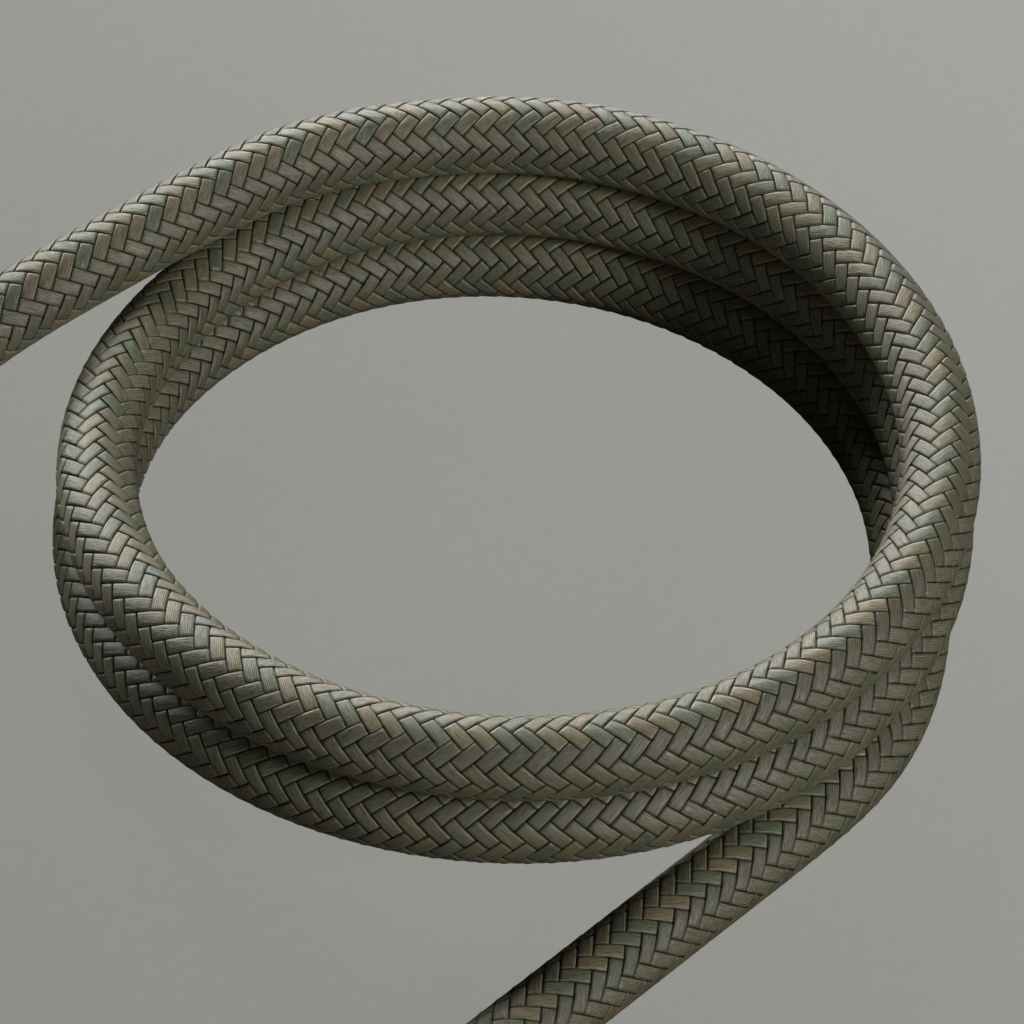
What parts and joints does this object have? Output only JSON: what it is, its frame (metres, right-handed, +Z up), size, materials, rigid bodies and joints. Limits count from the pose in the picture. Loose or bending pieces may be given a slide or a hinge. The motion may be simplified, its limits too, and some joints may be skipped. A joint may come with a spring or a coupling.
{
  "type": "braided charging cable",
  "caption": "Thick braided charging cable wound in a loose stacked coil, with a flat reversible plug on each end and its spare length tied in a second coil.",
  "frame": {"origin": "middle of the main coil's base, on the surface the cable lies on", "axes": "+Z up along the main coil's axis, +Y to the back, +X to the right; the spare coil lies towards -Y"},
  "size_m": [0.0996, 0.1399, 0.0168],
  "materials": {
    "braided_cord": "woven polyester braid in warm grey, brown and green-grey, satin",
    "dark_rubber": "soft matte elastomer",
    "housing_metal": "bead-blasted and anodised, fine matte grain",
    "steel": "drawn and nickel plated",
    "contact_metal": "gold plated",
    "black_plastic": "fine moulded texture",
    "board": "solder mask",
    "inner_mould": "milky moulded plastic",
    "tie_fabric": "woven hook and loop strap",
    "wire_red": "wire insulation",
    "wire_black": "wire insulation",
    "wire_green": "wire insulation",
    "wire_blue": "wire insulation",
    "wire_white": "wire insulation"
  },
  "bodies": {
    "root": {"cord_lead": "braided_cord", "cord_main_coil": "braided_cord", "cord_tail": "braided_cord", "cord_spare_coil": "braided_cord", "cord_end": "braided_cord", "spare_coil_tie": "tie_fabric", "plug_a_strain_relief": "dark_rubber", "plug_a_rear_cap": "black_plastic", "plug_a_housing_sleeve": "housing_metal", "plug_a_front_bezel": "black_plastic", "plug_a_jacket_end": "dark_rubber", "plug_a_crimp_ferrule": "steel", "plug_a_power_wire": "wire_red", "plug_a_ground_wire": "wire_black", "plug_a_data_wire_plus": "wire_green", "plug_a_control_wire": "wire_blue", "plug_a_data_wire_minus": "wire_white", "plug_a_inner_mould": "inner_mould", "plug_a_paddle_card": "board", "plug_a_marker_chip": "black_plastic", "plug_a_shield_can_upper": "steel", "plug_a_shield_can_lower": "steel", "plug_a_plug_shell": "steel", "plug_a_contact_insert": "black_plastic", "plug_a_contacts_upper": "contact_metal", "plug_a_contacts_lower": "contact_metal", "plug_a_latch_spring": "steel", "plug_a_ground_spring_upper": "steel", "plug_a_ground_spring_lower": "steel", "plug_b_strain_relief": "dark_rubber", "plug_b_rear_cap": "black_plastic", "plug_b_housing_sleeve": "housing_metal", "plug_b_front_bezel": "black_plastic", "plug_b_jacket_end": "dark_rubber", "plug_b_crimp_ferrule": "steel", "plug_b_power_wire": "wire_red", "plug_b_ground_wire": "wire_black", "plug_b_data_wire_plus": "wire_green", "plug_b_control_wire": "wire_blue", "plug_b_data_wire_minus": "wire_white", "plug_b_inner_mould": "inner_mould", "plug_b_paddle_card": "board", "plug_b_marker_chip": "black_plastic", "plug_b_shield_can_upper": "steel", "plug_b_shield_can_lower": "steel", "plug_b_plug_shell": "steel", "plug_b_contact_insert": "black_plastic", "plug_b_contacts_upper": "contact_metal", "plug_b_contacts_lower": "contact_metal", "plug_b_latch_spring": "steel", "plug_b_ground_spring_upper": "steel", "plug_b_ground_spring_lower": "steel"}
  },
  "joints": []
}
